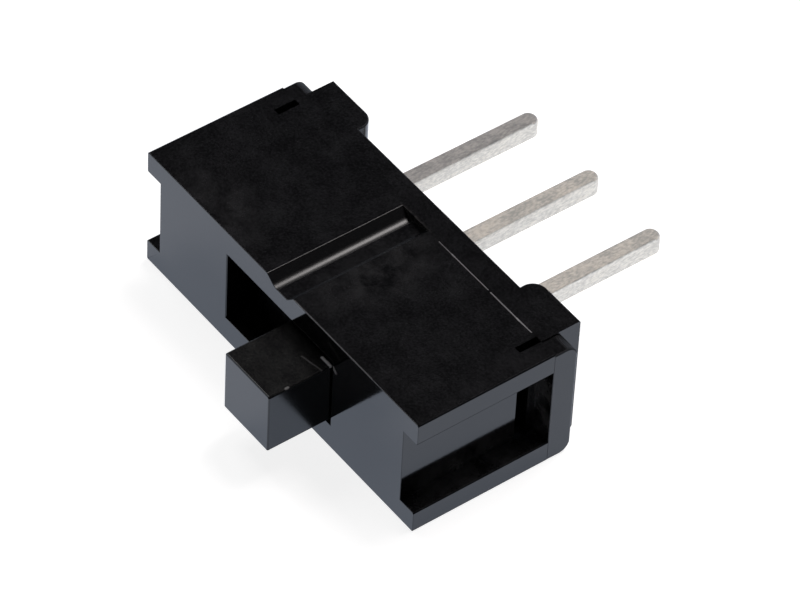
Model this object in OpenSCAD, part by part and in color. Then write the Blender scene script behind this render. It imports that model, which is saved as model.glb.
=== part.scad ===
// Miniature slide switch for a circuit board, changeover, with three terminals in a row.
// It lies on its flat side: X runs along the body, Y points out along the terminals, Z is up through
// the thickness. The origin is on the middle terminal's axis, in the plane where the feet seat on the board.

/* [Terminals] */
// Distance from one terminal to the next
terminal_pitch = 2.5; // [2.4:0.02:2.6]
// Width of a terminal along the row
terminal_width = 0.48; // [0.4:0.02:0.6]
// Thickness of the terminal strip
terminal_thickness = 0.46; // [0.35:0.02:0.55]
// Length of a terminal past the board seat
terminal_reach = 4.55; // [3:0.05:6]
// Width of the contact blade inside the switch
blade_width = 1.3; // [1:0.05:1.5]
// Length of the contact blade inside the switch
blade_length = 0.9; // [0.7:0.05:0.95]
// Corner radius of the contact blade
blade_corner = 0.15; // [0.05:0.05:0.3]

/* [Housing] */
// Length of the housing over its end flanges
body_length = 11.2; // [11:0.1:13]
// Thickness of the housing and base
body_thickness = 3.75; // [3.65:0.05:4.2]
// Depth of the housing, from the knob face to the base
housing_depth = 4.1; // [4:0.1:5]
// Thickness of the wall with the knob slot
front_wall = 0.7; // [0.5:0.05:0.9]
// Thickness of the two wide side walls
side_wall = 0.55; // [0.45:0.05:0.6]
// Thickness of the end walls between the flanges
end_wall = 0.55; // [0.4:0.05:0.7]
// How far the flanges stand out past the end walls
flange_reach = 0.55; // [0.4:0.05:0.7]
// Thickness of the flanges
flange_thickness = 0.66; // [0.5:0.02:0.8]
// Corner radius of the flanges
flange_corner = 0.04; // [0.03:0.01:0.2]
// Corner radius of the hollow inside
cavity_corner = 0.2; // [0.1:0.05:0.3]

/* [Side groove] */
// Distance from the middle to the groove's edge on the left
groove_left = 0.55; // [0.45:0.01:0.7]
// Distance from the middle to the groove's edge on the right
groove_right = 0.53; // [0.45:0.01:0.7]
// Width of the groove's left wall, seen from above
groove_left_wall = 0.32; // [0.25:0.01:0.4]
// Width of the groove's right wall, seen from above
groove_right_wall = 0.24; // [0.15:0.01:0.3]
// Radius between the groove's left wall and its floor
groove_fillet = 0.35; // [0.1:0.05:0.4]
// Depth of the groove
groove_depth = 0.23; // [0.15:0.01:0.3]

/* [Latch openings] */
// Length of the gap in each end wall next to the base
latch_gap_length = 0.65; // [0.5:0.05:0.8]
// Width of the slot through the side walls above that gap
latch_slot_width = 0.2; // [0.15:0.05:0.3]

/* [Base] */
// Thickness of the base plate behind the housing
base_plate = 0.7; // [0.5:0.05:1]
// Height of the feet that stand the base off the board
foot_height = 0.5; // [0.45:0.05:0.6]
// Length of each foot along the body
foot_length = 1.75; // [1.2:0.05:1.8]
// Radius of each foot's inner corner
foot_round = 0.4; // [0.2:0.05:0.45]
// Drop of the end plates below the side faces
ear_drop = 0.05; // [0.05:0.05:0.2]
// Radius of the end plates' outer corners
ear_round = 0.32; // [0.15:0.01:0.35]
// Depth of the trough that the contact blades stand in
trough_depth = 1; // [1:0.05:1.2]
// Room past the outer contact blades at each end of the trough
blade_room = 0.1; // [0.05:0.05:0.3]
// Room above and below the clip's finger tips in the trough
clip_room = 0.2; // [0.1:0.02:0.24]
// Length of the latch tongues that fill the end wall gaps
latch_tongue = 0.27; // [0.2:0.01:0.4]
// Room around the base's core and latch tongues
seat_clearance = 0.03; // [0.02:0.01:0.05]
// Room around each terminal in its slot
terminal_clearance = 0.03; // [0.02:0.01:0.05]

/* [Slider] */
// Length of the knob along the slot
knob_length = 1.82; // [1.5:0.02:2]
// Height of the knob across the slot
knob_height = 1.9; // [1.6:0.02:1.96]
// How far the knob stands out of the housing
knob_reach = 1.86; // [1:0.02:3]
// Corner radius of the knob
knob_corner = 0.05; // [0.03:0.01:0.2]
// Room between the slider body and the end walls at its stops
stop_room = 0.1; // [0.05:0.05:0.4]
// Thickness of the slider body inside
slider_thickness = 1.2; // [1:0.05:1.4]
// Room at each end of the knob's travel
end_clearance = 0.04; // [0.03:0.01:0.1]
// Room above and below the knob in its slot
knob_clearance = 0.17; // [0.08:0.01:0.18]
// Running room around the slider body
slide_clearance = 0.05; // [0.03:0.01:0.08]

/* [Contact clip] */
// Length of the clip along the row of terminals
clip_length = 3.4; // [3.2:0.05:3.6]
// Thickness of the spring strip
clip_thickness = 0.14; // [0.1:0.01:0.18]
// Height of the clip at its back
clip_height = 1.04; // [0.98:0.02:1.08]
// Depth of the pocket in the slider that holds the clip
pocket_depth = 0.5; // [0.4:0.05:0.6]
// Room around the clip in its pocket
pocket_clearance = 0.04; // [0.02:0.01:0.06]
// Room between the clip's fingers and the blades
contact_clearance = 0.04; // [0.03:0.01:0.06]
// Width of the gap between the clip's two pairs of fingers
finger_gap = 0.7; // [0.5:0.05:0.9]
// How far the finger tips spread from the blade
finger_flare = 0.16; // [0.1:0.02:0.2]
// Length of the spread finger tips
finger_tip = 0.3; // [0.2:0.02:0.36]

/* [Hidden] */
$fn = 48;
through = 1;
plastic_black = "#1c1c20";
knob_black = "#222226";
tin_grey = "#b4b1a9";
bronze = "#b98a55";

// Planes along Y, from the board back to the knob face
y_plate = -foot_height;
y_seam = y_plate - base_plate;
y_front = y_seam - housing_depth;
y_cavity = y_front + front_wall;
y_slider = y_cavity + slide_clearance;
y_slider_back = y_slider + slider_thickness;
y_core = y_slider_back + slide_clearance;
y_trough = y_core + trough_depth;
y_pocket = y_slider_back - pocket_depth;
y_blade = y_trough - blade_length;

// Sections across Y
web_length = body_length - 2 * flange_reach;
cavity_length = web_length - 2 * end_wall;
cavity_height = body_thickness - 2 * side_wall;
channel_height = body_thickness - 2 * flange_thickness;
core_length = cavity_length - 2 * seat_clearance;
core_height = cavity_height - 2 * seat_clearance;
slider_height = cavity_height - 2 * slide_clearance;
pocket_height = clip_height + 2 * pocket_clearance;

// The clip joins two neighbours, so the slider travels one pitch and rests half a pitch off the middle
travel = terminal_pitch;
slider_x = travel / 2;
slot_length = travel + knob_length + 2 * end_clearance;
slot_height = knob_height + 2 * knob_clearance;
slider_length = cavity_length - travel - 2 * stop_room;

// The trough takes the row of blades and the clip's spread fingers
finger_spread = terminal_thickness + 2 * (contact_clearance + clip_thickness + finger_flare);
trough_length = 2 * terminal_pitch + blade_width + 2 * blade_room;
trough_height = finger_spread + 2 * clip_room;

// The groove's left wall runs into its floor through a fillet, tangent to both
groove_top = body_thickness / 2;
groove_floor = groove_top - groove_depth;
groove_slope = atan2(groove_depth, groove_left_wall);
fillet_run = groove_fillet * tan(groove_slope / 2);
fillet_x = groove_left_wall - groove_left + fillet_run;

// Rectangle about the origin with round corners
module rounded_rectangle(size, radius) {
    square([size[0] - 2 * radius, size[1]], center = true);
    square([size[0], size[1] - 2 * radius], center = true);
    for (x = [-1, 1], y = [-1, 1])
        translate([x * (size[0] / 2 - radius), y * (size[1] / 2 - radius)])
            circle(radius);
}

// Section in X and Z, drawn along Y from y_start to y_end
module along_y(y_start, y_end) {
    translate([0, y_end, 0])
        rotate([90, 0, 0])
            linear_extrude(y_end - y_start)
                children();
}

// Section in Y and Z, drawn along X over a length about x = 0
module along_x(length) {
    rotate([90, 0, 90])
        linear_extrude(length, center = true)
            children();
}

// What the groove takes from the housing's section
module groove_section() {
    polygon([
        [-groove_left, groove_top],
        [
            fillet_x - groove_fillet * sin(groove_slope),
            groove_floor + groove_fillet * (1 - cos(groove_slope))
        ],
        [fillet_x, groove_floor],
        [groove_right - groove_right_wall, groove_floor],
        [groove_right, groove_top],
        [groove_right, groove_top + through],
        [-groove_left, groove_top + through]
    ]);
    translate([fillet_x, groove_floor + groove_fillet])
        circle(groove_fillet, $fn = 96);
}

// Housing section: a web between two flanged side walls, grooved on its upper side
module housing_section() {
    difference() {
        union() {
            square([web_length, body_thickness], center = true);
            for (side = [-1, 1])
                translate([0, side * (body_thickness - flange_thickness) / 2])
                    rounded_rectangle([body_length, flange_thickness], flange_corner);
        }
        groove_section();
    }
}

module housing() {
    slot_x = web_length / 2 - latch_slot_width / 2;
    color(plastic_black)
        difference() {
            along_y(y_front, y_seam) housing_section();
            along_y(y_cavity, y_seam + through)
                rounded_rectangle([cavity_length, cavity_height], cavity_corner);
            along_y(y_front - through, y_cavity + through)
                square([slot_length, slot_height], center = true);
            along_y(y_seam - latch_gap_length, y_seam + through) {
                square([web_length + through, channel_height], center = true);
                for (side = [-1, 1])
                    translate([side * slot_x, 0])
                        square([latch_slot_width, body_thickness + through], center = true);
            }
        }
}

// Outline of the base plate and its feet, seen through the thickness
module base_outline() {
    translate([-web_length / 2, y_seam])
        square([web_length, base_plate]);
    for (side = [-1, 1])
        mirror([side < 0 ? 1 : 0, 0])
            foot_outline();
}

// One foot, square at the end of the body and round towards the middle
module foot_outline() {
    outer = web_length / 2;
    inner = outer - foot_length;
    translate([inner + foot_round, y_plate])
        square([foot_length - foot_round, foot_height]);
    translate([inner, y_plate])
        square([foot_round, foot_height - foot_round]);
    intersection() {
        translate([inner + foot_round, -foot_round])
            circle(foot_round);
        translate([inner, y_plate])
            square([2 * foot_round, foot_height]);
    }
}

// End plate's section: square against the housing, round at its outer corners
module ear_section() {
    height = body_thickness - ear_drop;
    translate([y_seam, -body_thickness / 2])
        square([base_plate - ear_round, height]);
    translate([y_seam, ear_round - body_thickness / 2])
        square([base_plate, height - 2 * ear_round]);
    for (z = [ear_round, height - ear_round])
        translate([y_plate - ear_round, z - body_thickness / 2])
            circle(ear_round);
}

module base() {
    color(plastic_black)
        difference() {
            union() {
                linear_extrude(body_thickness, center = true) base_outline();
                along_x(body_length) ear_section();
                along_y(y_core, y_seam)
                    rounded_rectangle([core_length, core_height], cavity_corner);
                along_y(y_seam - latch_tongue, y_seam)
                    square([web_length - 2 * seat_clearance, channel_height - 2 * seat_clearance], center = true);
            }
            along_y(y_core - through, y_trough)
                square([trough_length, trough_height], center = true);
            for (place = [-1, 0, 1])
                translate([place * terminal_pitch, 0, 0])
                    along_y(y_trough - through, y_plate + through)
                        square([
                            terminal_width + 2 * terminal_clearance,
                            terminal_thickness + 2 * terminal_clearance
                        ], center = true);
        }
}

module slider() {
    color(knob_black)
        translate([slider_x, 0, 0])
            difference() {
                union() {
                    along_y(y_front - knob_reach, y_slider_back)
                        rounded_rectangle([knob_length, knob_height], knob_corner);
                    along_y(y_slider, y_slider_back)
                        square([slider_length, slider_height], center = true);
                }
                along_y(y_pocket, y_slider_back + through)
                    square([clip_length + 2 * pocket_clearance, pocket_height], center = true);
            }
}

// Terminal blank: a contact blade that shoulders on the base, and a straight leg with a round tip
module terminal_outline() {
    tip_radius = terminal_width / 2;
    translate([0, y_blade + blade_length / 2])
        rounded_rectangle([blade_width, blade_length], blade_corner);
    translate([-blade_width / 2, y_trough - blade_corner])
        square([blade_width, blade_corner]);
    translate([-terminal_width / 2, y_trough - blade_corner])
        square([terminal_width, terminal_reach - tip_radius - y_trough + blade_corner]);
    translate([0, terminal_reach - tip_radius])
        circle(tip_radius);
}

module terminal(place) {
    color(tin_grey)
        translate([place * terminal_pitch, 0, 0])
            linear_extrude(terminal_thickness, center = true)
                terminal_outline();
}

// Straight run of spring strip from one point of the clip's section to the next
module strip(from, to) {
    hull() {
        translate(from) circle(clip_thickness / 2, $fn = 24);
        translate(to) circle(clip_thickness / 2, $fn = 24);
    }
}

// Clip section in Y and Z: a back, and two fingers that close on the blade and flare at the tips
module clip_section() {
    half = clip_thickness / 2;
    back_y = y_pocket + half;
    back_z = clip_height / 2 - half;
    touch_z = terminal_thickness / 2 + contact_clearance + half;
    tip_y = y_trough - clip_thickness;
    touch_y = tip_y - finger_tip;
    strip([back_y, -back_z], [back_y, back_z]);
    for (side = [-1, 1]) {
        strip([back_y, side * back_z], [touch_y, side * touch_z]);
        strip([touch_y, side * touch_z], [tip_y, side * (touch_z + finger_flare)]);
    }
}

module contact_clip() {
    color(bronze)
        translate([slider_x, 0, 0])
            difference() {
                along_x(clip_length) clip_section();
                along_y(y_slider_back, y_trough)
                    square([finger_gap, trough_height], center = true);
            }
}

housing();
base();
slider();
terminal(-1);  // terminal_left
terminal(0);  // terminal_middle
terminal(1);  // terminal_right
contact_clip();
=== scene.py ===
"""Looks of a miniature slide switch: glossy black mouldings, a slider and a row of tinned terminals."""

import logging
import math
from dataclasses import dataclass, field
from enum import Enum
from typing import Any

import bmesh
import bpy
from mathutils import Matrix, Vector


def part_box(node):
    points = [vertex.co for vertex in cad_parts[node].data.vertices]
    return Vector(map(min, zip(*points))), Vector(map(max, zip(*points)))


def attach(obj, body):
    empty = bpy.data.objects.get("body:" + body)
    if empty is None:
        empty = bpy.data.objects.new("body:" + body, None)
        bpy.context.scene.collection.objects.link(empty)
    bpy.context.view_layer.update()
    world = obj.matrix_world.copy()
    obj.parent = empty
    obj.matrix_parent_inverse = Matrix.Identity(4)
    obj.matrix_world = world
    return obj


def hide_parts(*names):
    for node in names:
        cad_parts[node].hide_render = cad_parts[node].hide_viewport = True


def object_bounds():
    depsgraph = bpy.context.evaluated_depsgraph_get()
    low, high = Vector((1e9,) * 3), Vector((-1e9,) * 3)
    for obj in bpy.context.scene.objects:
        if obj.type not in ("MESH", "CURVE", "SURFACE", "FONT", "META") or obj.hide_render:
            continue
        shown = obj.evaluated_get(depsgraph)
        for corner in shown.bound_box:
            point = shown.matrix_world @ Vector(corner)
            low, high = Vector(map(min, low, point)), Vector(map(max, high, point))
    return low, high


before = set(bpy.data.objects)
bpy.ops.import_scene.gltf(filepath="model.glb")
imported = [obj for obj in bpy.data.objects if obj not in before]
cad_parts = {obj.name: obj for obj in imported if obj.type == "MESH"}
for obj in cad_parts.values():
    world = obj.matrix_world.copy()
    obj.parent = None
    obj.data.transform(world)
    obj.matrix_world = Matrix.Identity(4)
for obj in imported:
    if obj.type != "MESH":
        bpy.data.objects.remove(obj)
cad_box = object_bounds()

LOG = logging.getLogger("slide_switch")

Tree = bpy.types.NodeTree
Socket = bpy.types.NodeSocket
Colour = tuple[float, float, float, float]
Place = tuple[float, float, float]
Span = tuple[float, float]

# One millimetre in Blender's metres
MM = 0.001
# Points of a CAD mesh closer than this are one point
MERGE_DISTANCE = 0.0002 * MM
# Faces that turn less than this from one to the next are one flat face
FLAT_ANGLE = math.radians(0.5)
# Edges that turn more than this are edges to the eye
EDGE_ANGLE = math.radians(28)
# Faces narrower than this are facets of a curve
FACET_WIDTH = 0.045 * MM
# Places that differ by less than this are the same place
SAME_PLACE = 0.02 * MM
# An edge whose direction has this much of an axis runs along it
ALONG_AXIS = 0.9
# Socket numbers of a colour Mix node
MIX_SHARE = 0
MIX_FIRST = 6
MIX_SECOND = 7
MIX_COLOUR = 2


class Body(Enum):
    """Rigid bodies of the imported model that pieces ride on."""

    FIXED = "body"
    SLIDING = "slide"


class Slot(Enum):
    """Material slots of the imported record."""

    HOUSING = "housing_plastic"
    BASE = "base_plastic"
    SLIDER = "slider_plastic"
    TERMINAL = "terminal_tin"
    CLIP = "clip_bronze"


def linear(colour: str) -> Colour:
    """Turn an sRGB hex colour into linear values.

    Args:
        colour: Six hex digits after a hash sign.

    Returns:
        Linear red, green, blue and an alpha of one.
    """
    parts = [int(colour[i:i + 2], 16) / 255 for i in (1, 3, 5)]
    values = [c / 12.92 if c <= 0.04045 else ((c + 0.055) / 1.055) ** 2.4 for c in parts]
    return values[0], values[1], values[2], 1.0


def per_size(size_mm: float) -> float:
    """Give the texture scale whose features are about this many millimetres wide."""
    return 1 / (size_mm * MM)


def new_material(name: str) -> tuple[bpy.types.Material, Tree]:
    """Start an empty node material.

    Args:
        name: Name of the real material.

    Returns:
        The material and its node tree.
    """
    material = bpy.data.materials.new(name)
    material.use_nodes = True
    material.node_tree.nodes.clear()
    return material, material.node_tree


def add_node(tree: Tree, kind: str, settings: dict[str | int, Any] | None = None) -> bpy.types.Node:
    """Add a node with its settings and links.

    Args:
        tree: Node tree that takes the node.
        kind: Blender's name of the node type.
        settings: Values by property name, socket name or socket number. A socket as a value is linked.

    Returns:
        The new node.
    """
    node = tree.nodes.new(kind)
    for name, value in (settings or {}).items():
        if isinstance(value, Socket):
            tree.links.new(value, node.inputs[name])
        elif isinstance(name, str) and hasattr(node, name):
            setattr(node, name, value)
        else:
            node.inputs[name].default_value = value
    return node


def calculate(
    tree: Tree, operation: str, first: Socket, second: Socket | float, limit: float = 0.0, held: bool = False
) -> Socket:
    """Work out a number from two others.

    Args:
        tree: Node tree that takes the node.
        operation: Blender's name of the sum.
        first: First number.
        second: Second number.
        limit: Difference that a comparison allows.
        held: Whether the result is held between zero and one.

    Returns:
        The result.
    """
    settings = {"operation": operation, "use_clamp": held, 0: first, 1: second, 2: limit}
    return add_node(tree, "ShaderNodeMath", settings).outputs["Value"]


def calculate_vector(tree: Tree, operation: str, first: Any, second: Any = (0.0, 0.0, 0.0)) -> Any:
    """Work out a vector or a number from one or two vectors.

    Args:
        tree: Node tree that takes the node.
        operation: Blender's name of the sum.
        first: First vector, as a socket or as values.
        second: Second vector, as a socket or as values.

    Returns:
        The outputs by name: Vector and Value.
    """
    return add_node(tree, "ShaderNodeVectorMath", {"operation": operation, 0: first, 1: second}).outputs


def split(tree: Tree, vector: Socket) -> Any:
    """Give the parts of a vector by the names X, Y and Z."""
    return add_node(tree, "ShaderNodeSeparateXYZ", {"Vector": vector}).outputs


def remap(tree: Tree, value: Socket, span: Span, result: Span = (0.0, 1.0), eased: bool = False) -> Socket:
    """Stretch a value from one span to another and hold it at the ends.

    Args:
        tree: Node tree that takes the node.
        value: Value to stretch.
        span: Values that become the ends of the result.
        result: Ends of the result.
        eased: Whether the result eases in and out.

    Returns:
        The stretched value.
    """
    settings = {
        "interpolation_type": "SMOOTHSTEP" if eased else "LINEAR", "Value": value,
        "From Min": span[0], "From Max": span[1], "To Min": result[0], "To Max": result[1],
    }
    return add_node(tree, "ShaderNodeMapRange", settings).outputs["Result"]


def mix(tree: Tree, share: Socket | float, first: Socket | float, second: Socket | float) -> Socket:
    """Mix two numbers, where a share of one gives the second."""
    return add_node(tree, "ShaderNodeMix", {"Factor": share, "A": first, "B": second}).outputs["Result"]


def blend(tree: Tree, share: Socket, first: Socket | Colour, second: Socket | Colour) -> Socket:
    """Blend two colours, where a share of one gives the second."""
    settings = {"data_type": "RGBA", MIX_SHARE: share, MIX_FIRST: first, MIX_SECOND: second}
    return add_node(tree, "ShaderNodeMix", settings).outputs[MIX_COLOUR]


def bump(tree: Tree, height: Socket, depth_mm: float, under: Socket | None = None) -> Socket:
    """Raise a surface by a pattern.

    Args:
        tree: Node tree that takes the node.
        height: Pattern from zero to one.
        depth_mm: Depth of the pattern.
        under: Normal of a coarser pattern under this one.

    Returns:
        The normal of the raised surface.
    """
    settings = {"Distance": depth_mm * MM, "Height": height}
    if under is not None:
        settings["Normal"] = under
    return add_node(tree, "ShaderNodeBump", settings).outputs["Normal"]


def add_surface(tree: Tree, settings: dict[str, Any]) -> None:
    """Add a Principled shader with its settings and make it the material's surface."""
    shader = add_node(tree, "ShaderNodeBsdfPrincipled", settings)
    add_node(tree, "ShaderNodeOutputMaterial", {"Surface": shader.outputs["BSDF"]})


@dataclass(frozen=True)
class NoiseLayer:
    """Cloudy noise with features of about one size."""

    size_mm: float
    detail: float
    roughness: float = 0.5

    def add(self, tree: Tree, place: Socket) -> Socket:
        """Add the noise.

        Args:
            tree: Node tree of the material.
            place: Coordinates that the noise lies in.

        Returns:
            The noise, from zero to one.
        """
        settings = {
            "Scale": per_size(self.size_mm), "Detail": self.detail, "Roughness": self.roughness,
            "Vector": place,
        }
        return add_node(tree, "ShaderNodeTexNoise", settings).outputs["Fac"]


@dataclass(frozen=True)
class ScuffAndHighlightLine:
    """Pale line painted into the colour, for rub marks and for painted highlights along edges."""

    start_mm: Place
    end_mm: Place
    # Distance from the middle of the line at which it has faded out
    width_mm: float
    strength: float
    # Share of that distance within which the line has its full strength
    full_share: float = 1 / 3

    def mask(self, tree: Tree, place: Socket) -> Socket:
        """Find the points near the line.

        Args:
            tree: Node tree of the material.
            place: Object coordinates.

        Returns:
            The line's strength on it, and zero away from it.
        """
        start = Vector(self.start_mm) * MM
        run = Vector(self.end_mm) * MM - start
        offset = calculate_vector(tree, "SUBTRACT", place, start)["Vector"]
        share = calculate_vector(tree, "DOT_PRODUCT", offset, run / run.length_squared)["Value"]
        on_line = add_node(tree, "ShaderNodeClamp", {"Value": share}).outputs["Result"]
        nearest = calculate_vector(tree, "MULTIPLY", on_line, run)["Vector"]
        away = calculate_vector(tree, "DISTANCE", offset, nearest)["Value"]
        width = self.width_mm * MM
        return remap(tree, away, (width, width * self.full_share), (0.0, self.strength), eased=True)


@dataclass(frozen=True)
class PaleAndSheenPatch:
    """Pale patch painted into the colour and frayed at its rim; some are paler places, some painted sheen."""

    middle_mm: Place
    reach_mm: Place
    amount: float
    colour: str = "#2d2d2e"
    # Cloud noise from where the patch frays out to where it is whole
    frayed_span: Span = (0.36, 0.66)

    def mask(self, tree: Tree, place: Socket, clouds: Socket) -> Socket:
        """Find the points in the patch.

        Args:
            tree: Node tree of the material.
            place: Object coordinates.
            clouds: Cloud noise that frays the patch.

        Returns:
            Strength of the haze at each point.
        """
        middle = Vector(self.middle_mm) * MM
        per_reach = [1 / (reach * MM) for reach in self.reach_mm]
        offset = calculate_vector(tree, "SUBTRACT", place, middle)["Vector"]
        spread = calculate_vector(tree, "MULTIPLY", offset, per_reach)["Vector"]
        far = calculate_vector(tree, "LENGTH", spread)["Value"]
        near = remap(tree, far, (1.0, 0.0), (0.0, self.amount), eased=True)
        return calculate(tree, "MULTIPLY", near, remap(tree, clouds, self.frayed_span))


@dataclass(frozen=True)
class GrooveZone:
    """Inside of a groove along Y, which nothing rubs on."""

    middle_mm: float
    half_width_mm: float
    heights_mm: Span
    roughness: float

    def mask(self, tree: Tree, place: Socket) -> Socket:
        """Find the points in the groove.

        Args:
            tree: Node tree of the material.
            place: Object coordinates.

        Returns:
            One inside the groove and zero elsewhere.
        """
        low, high = (height * MM for height in self.heights_mm)
        parts = split(tree, place)
        across = calculate(tree, "COMPARE", parts["X"], self.middle_mm * MM, self.half_width_mm * MM)
        deep = calculate(tree, "COMPARE", parts["Z"], (low + high) / 2, (high - low) / 2)
        return calculate(tree, "MULTIPLY", across, deep)


@dataclass(frozen=True)
class MouldedPlastic:
    """Black plastic moulded in a polished tool: deep and glossy, with its wide sides dulled by rubbing."""

    name: str
    # Colours of the clean plastic, its rubbed clouds and its pale lines, some rub marks and some painted
    # highlights
    colour: str = "#09090a"
    cloud_colour: str = "#1a1a1c"
    scuff_and_highlight_colour: str = "#9a999b"
    refraction: float = 1.43
    # Roughness of the clean faces, the rubbed wide sides and the worn edges
    polished: float = 0.09
    rubbed: Span = (0.13, 0.19)
    worn: float = 0.85
    # Gloss of the faces and of the worn edges
    gloss: float = 0.5
    worn_gloss: float = 0.1
    # Whether the edges towards the board are worn, as those at the knob's end are
    worn_to_board: bool = False
    # Clouds from rubbing, the tool's fine grain and the slow waves of a wall that shrank as it cooled
    clouds: NoiseLayer = NoiseLayer(0.7, 6.0, 0.62)
    grain: NoiseLayer = NoiseLayer(0.06, 3.0, 0.6)
    waves: NoiseLayer = NoiseLayer(2.6, 1.0)
    grain_depth_mm: float = 0.0006
    wave_depth_mm: float = 0.004
    # Share of the grain in the clouds' colour, and the noise over which colour and roughness change
    grain_share: float = 0.7
    cloud_span: Span = (0.41, 0.62)
    dull_span: Span = (0.35, 0.7)
    # Upright part of the normal, from the narrow sides to the wide ones
    wide_span: Span = (0.6, 0.8)
    # Largest part of the normal, from a flat face to a slanted edge
    slant_span: Span = (0.9995, 0.992)
    # Part of the normal towards a worn side, from a clean edge to a worn one
    worn_span: Span = (0.01, 0.08)
    groove: GrooveZone | None = None
    pale_and_sheen_patches: tuple[PaleAndSheenPatch, ...] = ()
    scuffs_and_highlights: tuple[ScuffAndHighlightLine, ...] = ()

    def facing(self, tree: Tree, normal: Socket) -> tuple[Socket, Socket]:
        """Find the wide upper and lower sides, and their edges that rub on what lies by them.

        Args:
            tree: Node tree of the material.
            normal: Normal in the piece's own axes.

        Returns:
            One on the wide sides and zero on the narrow ones; one on those edges and zero elsewhere.
        """
        directions = split(tree, normal)
        sizes = split(tree, calculate_vector(tree, "ABSOLUTE", normal)["Vector"])
        wide = remap(tree, sizes["Z"], self.wide_span)
        across = calculate(tree, "MAXIMUM", sizes["X"], sizes["Y"])
        largest = calculate(tree, "MAXIMUM", across, sizes["Z"])
        slanted = remap(tree, largest, self.slant_span)
        outward = directions["X"]
        if self.worn_to_board:
            outward = calculate(tree, "MAXIMUM", directions["X"], directions["Y"])
        lesser = calculate(tree, "MINIMUM", outward, sizes["Z"])
        edges = calculate(tree, "MULTIPLY", slanted, remap(tree, lesser, self.worn_span))
        return wide, edges

    def tint(self, tree: Tree, place: Socket, clouds: Socket, cloudy: Socket) -> Socket:
        """Colour the plastic with its clouds, pale patches and pale lines, among them painted sheen and
        painted highlights.

        Args:
            tree: Node tree of the material.
            place: Object coordinates.
            clouds: Cloud noise that frays the patches.
            cloudy: Strength of the clouds at each point.

        Returns:
            The colour at each point.
        """
        colour = blend(tree, cloudy, linear(self.colour), linear(self.cloud_colour))
        # Pale patches, some of them painted sheen on lit places
        for patch_mark in self.pale_and_sheen_patches:
            colour = blend(tree, patch_mark.mask(tree, place, clouds), colour, linear(patch_mark.colour))
        # Pale lines, some of them painted highlights along edges
        for line_mark in self.scuffs_and_highlights:
            colour = blend(tree, line_mark.mask(tree, place), colour, linear(self.scuff_and_highlight_colour))
        return colour

    def make(self) -> bpy.types.Material:
        """Build the material, with clouds in the colour and gloss, and a fine grain on a slow wave."""
        material, tree = new_material(self.name)
        coordinates = add_node(tree, "ShaderNodeTexCoord").outputs
        place = coordinates["Object"]
        clouds = self.clouds.add(tree, place)
        grain = self.grain.add(tree, place)
        waves = self.waves.add(tree, place)
        wide, edges = self.facing(tree, coordinates["Normal"])
        dulled = remap(tree, clouds, self.dull_span, self.rubbed)
        roughness = mix(tree, edges, mix(tree, wide, self.polished, dulled), self.worn)
        if self.groove:
            inside = self.groove.mask(tree, place)
            roughness = mix(tree, inside, roughness, self.groove.roughness)
            wide = calculate(tree, "SUBTRACT", wide, inside, held=True)
            edges = calculate(tree, "SUBTRACT", edges, inside, held=True)
        mottled = remap(tree, mix(tree, self.grain_share, clouds, grain), self.cloud_span)
        cloudy = calculate(tree, "MULTIPLY", mottled, wide)
        add_surface(tree, {
            "IOR": self.refraction,
            "Base Color": self.tint(tree, place, clouds, cloudy),
            "Roughness": roughness,
            "Specular IOR Level": remap(tree, edges, (0.0, 1.0), (self.gloss, self.worn_gloss)),
            "Normal": bump(tree, grain, self.grain_depth_mm, bump(tree, waves, self.wave_depth_mm)),
        })
        return material


@dataclass(frozen=True)
class TinPlate:
    """Electroplated tin on a stamped strip, mottled, with its upper side painted darker and its cut sides
    painted whiter, as the light falls on them.
    """

    name: str
    # Colours of the cut sides, painted whiter, and of the upper side, painted darker, as the light falls on
    # them; each between two
    cut: str = "#d1c9bb"
    bright_cut: str = "#f3ebdc"
    warm: str = "#b5aea4"
    grey: str = "#92908a"
    # Patches and flecks, and the share of their scale across the strip that they have along it
    mottle: NoiseLayer = NoiseLayer(0.33, 6.0, 0.68)
    flecks: NoiseLayer = NoiseLayer(0.055, 3.0)
    stretch: float = 0.45
    fleck_share: float = 0.5
    # Noise over which the colour and the roughness change
    patch_span: Span = (0.41, 0.6)
    dull_span: Span = (0.35, 0.65)
    roughness: Span = (0.42, 0.6)
    lump_depth_mm: float = 0.01
    # Upright part of the normal, from the cut sides to the upper one
    upper_span: Span = (0.5, 0.95)

    def make(self) -> bpy.types.Material:
        """Build the material, with grey and warm patches, fine flecks, slightly lumpy plating, and painted
        light that makes the upper side darker than the cut sides.
        """
        material, tree = new_material(self.name)
        coordinates = add_node(tree, "ShaderNodeTexCoord").outputs
        drawn = add_node(
            tree, "ShaderNodeMapping", {"Scale": (1.0, self.stretch, 1.0), "Vector": coordinates["Object"]}
        ).outputs["Vector"]
        mottle = self.mottle.add(tree, drawn)
        mixed = mix(tree, self.fleck_share, mottle, self.flecks.add(tree, drawn))
        patches = remap(tree, mixed, self.patch_span)
        dulled = blend(tree, patches, linear(self.grey), linear(self.warm))
        sheared = blend(tree, patches, linear(self.cut), linear(self.bright_cut))
        # Painted light: the upper side takes the darker colours and the cut sides the whiter ones
        upper = remap(tree, split(tree, coordinates["Normal"])["Z"], self.upper_span)
        add_surface(tree, {
            "Metallic": 1.0,
            "Base Color": blend(tree, upper, sheared, dulled),
            "Roughness": remap(tree, mottle, self.dull_span, self.roughness),
            "Normal": bump(tree, mixed, self.lump_depth_mm),
        })
        return material


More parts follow.
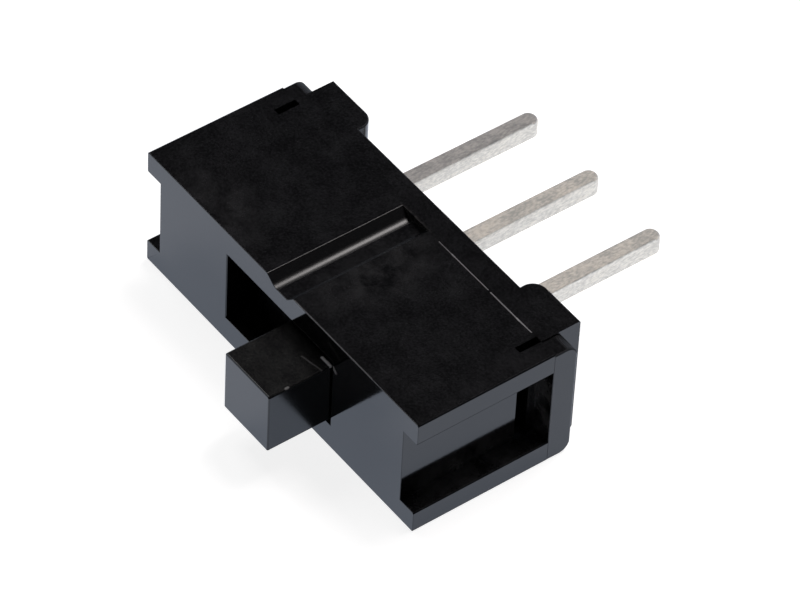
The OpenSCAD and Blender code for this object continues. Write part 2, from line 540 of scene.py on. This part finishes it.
@dataclass(frozen=True)
class SpringBronze:
    """Rolled phosphor bronze strip: bright, with fine rolling lines along its length."""

    name: str
    colour: str = "#c99a63"
    line_colour: str = "#a87a48"
    lines: NoiseLayer = NoiseLayer(0.04, 2.0)
    line_stretch: float = 0.05
    roughness: float = 0.24

    def make(self) -> bpy.types.Material:
        """Build the material, with rolling lines in its colour."""
        material, tree = new_material(self.name)
        place = add_node(tree, "ShaderNodeTexCoord").outputs["Object"]
        rolled = add_node(
            tree, "ShaderNodeMapping", {"Scale": (self.line_stretch, 1.0, 1.0), "Vector": place}
        ).outputs["Vector"]
        colour = blend(tree, self.lines.add(tree, rolled), linear(self.colour), linear(self.line_colour))
        add_surface(tree, {"Metallic": 1.0, "Roughness": self.roughness, "Base Color": colour})
        return material


@dataclass
class SwitchPiece:
    """One piece of the switch, shaped from its CAD solid with the edges that the real one has."""

    node: str
    name: str
    body: Body
    slot: Slot
    edge_mm: float = 0.04
    round_steps: int = 5
    low: Vector = field(init=False)
    high: Vector = field(init=False)

    def __post_init__(self) -> None:
        """Take the piece's box from the frame."""
        self.low, self.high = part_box(self.node)

    def edge_radius(self, middle: Vector, along: Vector) -> float:
        """Give the radius of one edge.

        Args:
            middle: Middle point of the edge, in metres.
            along: Direction of the edge, of length one.

        Returns:
            Radius in millimetres, or zero where the edge stays sharp.
        """
        return self.edge_mm

    def shape(self) -> bmesh.types.BMesh:
        """Copy the CAD solid's mesh, with its triangles merged and its flat faces whole."""
        mesh = bmesh.new()
        mesh.from_mesh(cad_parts[self.node].data)
        bmesh.ops.remove_doubles(mesh, verts=mesh.verts, dist=MERGE_DISTANCE)
        bmesh.ops.dissolve_limit(mesh, angle_limit=FLAT_ANGLE, verts=mesh.verts, edges=mesh.edges)
        return mesh

    def mark_edges(self, shape: bmesh.types.BMesh) -> float:
        """Give each edge its share of the widest radius, and smooth what is curved.

        Args:
            shape: Mesh of the piece.

        Returns:
            The widest radius, in millimetres.
        """
        weights = shape.edges.layers.float.new("bevel_weight_edge")
        for edge in shape.edges:
            if edge.calc_face_angle(0.0) < EDGE_ANGLE:
                continue
            first, second = (v.co for v in edge.verts)
            if edge.is_convex:
                edge[weights] = self.edge_radius((first + second) / 2, (second - first).normalized())
            edge.smooth = edge[weights] > 0
        widest = max(edge[weights] for edge in shape.edges)
        for edge in shape.edges:
            edge[weights] /= widest
        for face in shape.faces:
            longest = max(edge.calc_length() for edge in face.edges)
            face.smooth = face.calc_area() < FACET_WIDTH * longest
        return widest

    def build(self, material: bpy.types.Material) -> bpy.types.Object:
        """Make the piece, with rounded edges and its material, in place of its CAD solid.

        Args:
            material: Finish of the whole piece.

        Returns:
            The finished object.
        """
        shape = self.shape()
        widest = self.mark_edges(shape)
        data = bpy.data.meshes.new(self.name)
        shape.to_mesh(data)
        shape.free()
        piece = bpy.data.objects.new(self.name, data)
        bpy.context.scene.collection.objects.link(piece)
        data.materials.append(material)
        rounding = piece.modifiers.new("rounded_edges", "BEVEL")
        rounding.limit_method = "WEIGHT"
        rounding.width = widest * MM
        rounding.segments = self.round_steps
        rounding.use_clamp_overlap = False
        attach(piece, self.body.value)
        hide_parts(self.node)
        LOG.info("%s: %d faces before rounding", self.name, len(data.polygons))
        return piece


@dataclass
class Housing(SwitchPiece):
    """Black cover with I-shaped ends, the knob's slot and a groove across its upper side."""

    node: str = "housing"
    name: str = "housing_moulding"
    body: Body = Body.FIXED
    slot: Slot = Slot.HOUSING
    edge_mm: float = 0.014
    slot_edge_mm: float = 0.025
    groove_edge_mm: float = 0.007
    slot_half_length_mm: float = 2.3
    slot_half_height_mm: float = 1.2
    groove_half_width_mm: float = 0.62

    def edge_radius(self, middle: Vector, along: Vector) -> float:
        """Give the radius of one edge: rounded at the front, left end, slot and left side of the groove."""
        place = middle / MM
        if abs(middle.y - self.low.y) < SAME_PLACE:
            in_slot = abs(place.x) < self.slot_half_length_mm and abs(place.z) < self.slot_half_height_mm
            return self.slot_edge_mm if in_slot else self.edge_mm
        at_seam = abs(middle.y - self.high.y) < SAME_PLACE
        if abs(middle.x - self.low.x) < SAME_PLACE and not at_seam:
            return self.edge_mm
        on_top = abs(middle.z - self.high.z) < SAME_PLACE
        on_groove = on_top and abs(along.y) > ALONG_AXIS and -self.groove_half_width_mm < place.x < 0
        return self.groove_edge_mm if on_groove else 0.0


@dataclass
class TerminalBase(SwitchPiece):
    """Black block that closes the housing, with end plates and feet."""

    node: str = "base"
    name: str = "base_moulding"
    body: Body = Body.FIXED
    slot: Slot = Slot.BASE
    seam_edge_mm: float = 0.02
    # Distance from the middle to each foot's outer side, where the end plate's arcs meet it and stay sharp
    foot_side_mm: float = 5.05
    # Half of the length and height of the field with the terminals' slots
    hole_x_mm: float = 3.0
    hole_z_mm: float = 0.5
    seam_y: float = field(init=False)

    def __post_init__(self) -> None:
        """Take the seam's place from the housing."""
        super().__post_init__()
        self.seam_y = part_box("housing")[1].y

    def edge_radius(self, middle: Vector, along: Vector) -> float:
        """Give the radius of one edge: rounded outside and where the seam meets the ends, sharp elsewhere."""
        at_seam = abs(middle.y - self.seam_y) < SAME_PLACE and abs(along.z) > ALONG_AXIS
        if at_seam and abs(middle.x) > self.high.x - SAME_PLACE:
            return self.seam_edge_mm
        at_terminals = abs(middle.x) < self.hole_x_mm * MM and abs(middle.z) < self.hole_z_mm * MM
        on_foot_side = abs(abs(middle.x) - self.foot_side_mm * MM) < SAME_PLACE
        is_inside = middle.y < self.seam_y + SAME_PLACE
        return 0.0 if is_inside or at_terminals or on_foot_side else self.edge_mm


@dataclass
class Slider(SwitchPiece):
    """Black slider with the square knob."""

    node: str = "slider"
    name: str = "slider_moulding"
    body: Body = Body.SLIDING
    slot: Slot = Slot.SLIDER

    def edge_radius(self, middle: Vector, along: Vector) -> float:
        """Give the radius of one edge: rounded around the knob's face, sharp elsewhere."""
        return self.edge_mm if abs(middle.y - self.low.y) < SAME_PLACE else 0.0


@dataclass
class Terminal(SwitchPiece):
    """Stamped terminal with a round tip, rolled over on its upper right by the stamp."""

    body: Body = Body.FIXED
    slot: Slot = Slot.TERMINAL
    edge_mm: float = 0.02
    rolled_edge_mm: float = 0.1
    round_steps: int = 8
    # Where the leg ends and the blade inside the switch starts
    blade_y_mm: float = -2.0
    # How much thicker than the solid the leg is, less than the room in its slot
    thicker_mm: float = 0.025

    def share_right(self, place: Vector) -> float:
        """Give how far to the right a point is: zero at the terminal's left side and one at its right."""
        return (place.x - self.low.x) / (self.high.x - self.low.x)

    def shape(self) -> bmesh.types.BMesh:
        """Copy the CAD solid's mesh, with a leg as thick to the right and below as in the photograph."""
        mesh = super().shape()
        for vertex in mesh.verts:
            if vertex.co.y < self.blade_y_mm * MM:
                continue
            vertex.co.x += self.thicker_mm * MM * self.share_right(vertex.co)
            if vertex.co.z < 0:
                vertex.co.z -= self.thicker_mm * MM
        return mesh

    def edge_radius(self, middle: Vector, along: Vector) -> float:
        """Give the radius of one edge: rounded on the leg, most at its upper right, sharp on the blade."""
        if middle.y < self.blade_y_mm * MM:
            return 0.0
        if middle.z <= 0:
            return self.edge_mm
        return self.edge_mm + (self.rolled_edge_mm - self.edge_mm) * self.share_right(middle)


@dataclass
class ContactClip(SwitchPiece):
    """Spring clip that the slider carries."""

    node: str = "contact_clip"
    name: str = "contact_clip_strip"
    body: Body = Body.SLIDING
    slot: Slot = Slot.CLIP
    edge_mm: float = 0.01
    round_steps: int = 2


@dataclass(frozen=True)
class SoftLamp:
    """Soft lamp that faces the switch, with its place and size in metres."""

    name: str
    place: Place
    size: Span
    watts: float
    colour: tuple[float, float, float] = (1.0, 1.0, 1.0)

    def hang(self) -> None:
        """Hang the lamp in the scene, unseen by the camera."""
        lamp = bpy.data.lights.new(self.name, "AREA")
        lamp.shape = "RECTANGLE"
        lamp.size, lamp.size_y = self.size
        lamp.energy = self.watts
        lamp.color = self.colour
        holder = bpy.data.objects.new(self.name, lamp)
        holder.location = self.place
        holder.rotation_euler = Vector(self.place).to_track_quat("Z", "Y").to_euler()
        holder.visible_camera = False
        bpy.context.scene.collection.objects.link(holder)


@dataclass
class Studio:
    """White table with a low white surround, a dim room above it and soft lamps; lengths in metres."""

    table_size: float = 3.0
    table_colour: str = "#b0b0b0"
    # White of the table and the surround as the camera sees it, and its bluer tint in reflections
    white_seen: Colour = (0.82, 0.82, 0.82, 1.0)
    white_mirrored: Colour = (0.74, 0.83, 1.0, 1.0)
    table_strength: float = 1.03
    surround_strength: float = 1.5
    # Share of that white that a reflection of a reflection shows
    second_mirror: float = 0.25
    surround_radius: float = 0.7
    surround_height: float = 0.42
    surround_sides: int = 96
    # Light of the room at the horizon and overhead, and the upward part of the view where it is as overhead
    room_low: Colour = (0.35, 0.35, 0.37, 1.0)
    room_high: Colour = (0.03, 0.03, 0.035, 1.0)
    room_rise: float = 0.6
    # White behind the table, and the upward part of the view up to which reflections show it too
    white_behind: Colour = (1.0, 1.0, 1.0, 1.0)
    white_rise: float = 0.3
    lamps: tuple[SoftLamp, ...] = (
        SoftLamp("lamp_overhead", (-0.03, 0.258, 0.536), (0.2, 0.24), 1.5, (1.0, 0.95, 0.94)),
        SoftLamp("lamp_diffuser", (-0.03, 0.258, 0.536), (0.4, 0.28), 0.8, (1.0, 0.96, 0.95)),
        SoftLamp("soft_box_left", (-0.367, 0.0, 0.571), (0.24, 0.24), 0.8),
    )

    def white_finish(self, name: str, strength: float) -> bpy.types.Material:
        """Make white paper: lit as paper is, and white to the camera, in reflections and through glass.

        Args:
            name: Name of the material.
            strength: Brightness that the camera and the reflections see.

        Returns:
            The material.
        """
        material, tree = new_material(name)
        path = add_node(tree, "ShaderNodeLightPath").outputs
        seen = calculate(tree, "MAXIMUM", path["Is Camera Ray"], path["Is Glossy Ray"])
        shown = calculate(tree, "MAXIMUM", seen, path["Is Transmission Ray"])
        weakened = remap(tree, path["Glossy Depth"], (1.0, 2.0), (strength, strength * self.second_mirror))
        glow = add_node(tree, "ShaderNodeEmission", {
            "Color": blend(tree, path["Is Camera Ray"], self.white_mirrored, self.white_seen),
            "Strength": calculate(tree, "MULTIPLY", shown, weakened),
        })
        paper = add_node(tree, "ShaderNodeBsdfDiffuse", {"Color": linear(self.table_colour)})
        both = add_node(tree, "ShaderNodeAddShader", {0: paper.outputs["BSDF"], 1: glow.outputs["Emission"]})
        add_node(tree, "ShaderNodeOutputMaterial", {"Surface": both.outputs["Shader"]})
        return material

    def lay_table(self, height: float) -> None:
        """Lay the table under the switch and set the surround around it.

        Args:
            height: Height of the table's top.
        """
        flat = bmesh.new()
        bmesh.ops.create_grid(
            flat, x_segments=1, y_segments=1, size=self.table_size / 2,
            matrix=Matrix.Translation((0, 0, height)),
        )
        ring = bmesh.new()
        bmesh.ops.create_cone(
            ring, cap_ends=False, segments=self.surround_sides,
            radius1=self.surround_radius, radius2=self.surround_radius,
            depth=self.surround_height, matrix=Matrix.Translation((0, 0, height + self.surround_height / 2)),
        )
        stands = (("table", flat, self.table_strength), ("surround", ring, self.surround_strength))
        for name, mesh, strength in stands:
            data = bpy.data.meshes.new(name)
            mesh.to_mesh(data)
            mesh.free()
            data.materials.append(self.white_finish(f"white_paper_{name}", strength))
            stand = bpy.data.objects.new(name, data)
            bpy.context.scene.collection.objects.link(stand)

    def light_room(self) -> None:
        """Make the room: white behind what the camera sees, and at the horizon in reflections, else dim."""
        world = bpy.data.worlds.new("dim_room")
        world.use_nodes = True
        tree = world.node_tree
        tree.nodes.clear()
        path = add_node(tree, "ShaderNodeLightPath").outputs
        direction = add_node(tree, "ShaderNodeTexCoord").outputs["Generated"]
        height = split(tree, direction)["Z"]
        rise = remap(tree, height, (0.0, self.room_rise))
        room = blend(tree, rise, self.room_low, self.room_high)
        mirrored = calculate(tree, "MAXIMUM", path["Is Glossy Ray"], path["Is Transmission Ray"])
        is_low = calculate(tree, "LESS_THAN", height, self.white_rise)
        at_horizon = calculate(tree, "MULTIPLY", mirrored, is_low)
        is_white = calculate(tree, "MAXIMUM", path["Is Camera Ray"], at_horizon)
        shown = blend(tree, is_white, room, self.white_behind)
        background = add_node(tree, "ShaderNodeBackground", {"Color": shown})
        add_node(tree, "ShaderNodeOutputWorld", {"Surface": background.outputs["Background"]})
        bpy.context.scene.world = world

    def set_up(self, table_height: float) -> None:
        """Lay the table, light the room and hang the lamps.

        Args:
            table_height: Height of the table's top.
        """
        self.lay_table(table_height)
        self.light_room()
        for lamp in self.lamps:
            lamp.hang()


@dataclass
class PhotoCamera:
    """Long lens that looks down on the knob's end of the switch, as fitted to the photograph's edges."""

    eye_mm: Place = (76.995, -63.665, 102.084)
    right: Place = (0.59608, 0.80202, 0.03806)
    up: Place = (-0.59473, 0.40917, 0.69201)
    lens_mm: float = 258.74
    sensor_mm: float = 36.0
    # Nearest distance that the camera shows
    near_mm: float = 1.0

    def set_up(self) -> None:
        """Stand the camera where the photograph was taken from."""
        lens = bpy.data.cameras.new("photo_camera")
        lens.lens = self.lens_mm
        lens.sensor_width = self.sensor_mm
        lens.clip_start = self.near_mm * MM
        camera = bpy.data.objects.new("photo_camera", lens)
        right = Vector(self.right).normalized()
        back = right.cross(Vector(self.up)).normalized()
        up = back.cross(right)
        turned = Matrix((right, up, back)).transposed().to_4x4()
        camera.matrix_world = Matrix.Translation(Vector(self.eye_mm) * MM) @ turned
        bpy.context.scene.collection.objects.link(camera)
        bpy.context.scene.camera = camera


# Groove across the housing's upper side, with the polish that the tool gave it
HOUSING_GROOVE = GrooveZone(-0.011, 0.545, (1.6462, 1.876), 0.22)
# Rubbed patch right of the groove with its sheen painted in, painted sheen at the front left, and a paler
# patch in the channel at the knob's end
HOUSING_PALE_AND_SHEEN_PATCHES = (
    PaleAndSheenPatch((0.95, -3.1, 1.875), (1.3, 2.4, 1.0), 1.0),
    PaleAndSheenPatch((-3.0, -4.8, 1.875), (2.6, 1.2, 1.0), 0.6),
    PaleAndSheenPatch((5.2, -3.2, -1.1), (0.9, 3.2, 0.9), 1.0, "#3a3a3b"),
)
# Painted highlights: along the seam's edge in four runs, a faint line on the front edge and a tick by the
# knob
HOUSING_PAINTED_HIGHLIGHTS = (
    ScuffAndHighlightLine((1.5, -1.205, 1.875), (2.94, -1.2, 1.875), 0.034, 0.62),
    ScuffAndHighlightLine((0.98, -1.205, 1.875), (1.6, -1.205, 1.875), 0.035, 0.35),
    ScuffAndHighlightLine((3.06, -1.21, 1.875), (4.2, -1.215, 1.875), 0.034, 0.58),
    ScuffAndHighlightLine((4.1, -1.215, 1.875), (4.66, -1.2, 1.875), 0.036, 0.7),
    ScuffAndHighlightLine((0.6, -5.3, 1.87), (3.7, -5.3, 1.87), 0.05, 0.12),
    ScuffAndHighlightLine((2.2, -5.3, 0.98), (2.32, -5.3, 0.86), 0.07, 1.0),
)
# Paler patch on the face that closes the groove's end, and painted sheen on the end plate that closes the
# channel
BASE_PALE_AND_SHEEN_PATCHES = (
    PaleAndSheenPatch((0.0, -1.2, 1.76), (0.9, 0.1, 0.3), 1.0, "#5a5856"),
    PaleAndSheenPatch((5.3, -1.2, 0.1), (0.6, 0.12, 2.4), 1.0, "#5a5a5b"),
)
# Painted highlight as a tick where the knob meets the slot, then a hair line on the knob and a speck on its
# edge
SLIDER_HIGHLIGHTS_AND_SCUFFS = (
    ScuffAndHighlightLine((1.8, -5.32, 0.95), (2.16, -5.32, 0.95), 0.058, 1.0),
    ScuffAndHighlightLine((1.48, -5.7, 0.95), (2.14, -5.58, 0.95), 0.035, 0.09),
    ScuffAndHighlightLine((2.13, -6.64, 0.95), (2.13, -6.58, 0.95), 0.05, 0.25),
)


def main() -> None:
    """Build the camera, the studio and every piece of the switch."""
    logging.basicConfig(level=logging.INFO, format="%(message)s")
    bpy.context.scene.view_settings.view_transform = "Standard"
    PhotoCamera().set_up()
    Studio().set_up(cad_box[0].z)
    housing_black = MouldedPlastic(
        "black_nylon_housing", groove=HOUSING_GROOVE, pale_and_sheen_patches=HOUSING_PALE_AND_SHEEN_PATCHES, scuffs_and_highlights=HOUSING_PAINTED_HIGHLIGHTS
    )
    base_black = MouldedPlastic(
        "black_nylon_base", polished=0.2, worn=0.6, worn_gloss=0.22, worn_to_board=True, pale_and_sheen_patches=BASE_PALE_AND_SHEEN_PATCHES
    )
    slider_black = MouldedPlastic(
        "black_acetal_slider", cloud_colour="#1d1d1c", scuff_and_highlight_colour="#c4c3c4",
        polished=0.15, rubbed=(0.17, 0.23), scuffs_and_highlights=SLIDER_HIGHLIGHTS_AND_SCUFFS,
    )
    tin = TinPlate("tin_plated_brass").make()
    # Painted shade: the left terminal gets a darker copy of the tin
    painted_shade_tin = TinPlate("painted_shade_tin_plated_brass", warm="#96928d", grey="#7a7875").make()
    Housing().build(housing_black.make())
    TerminalBase().build(base_black.make())
    Slider().build(slider_black.make())
    for side, plating in (("left", painted_shade_tin), ("middle", tin), ("right", tin)):
        Terminal(node=f"terminal_{side}", name=f"terminal_{side}_strip").build(plating)
    ContactClip().build(SpringBronze("phosphor_bronze_strip").make())


if __name__ == "__main__":
    main()
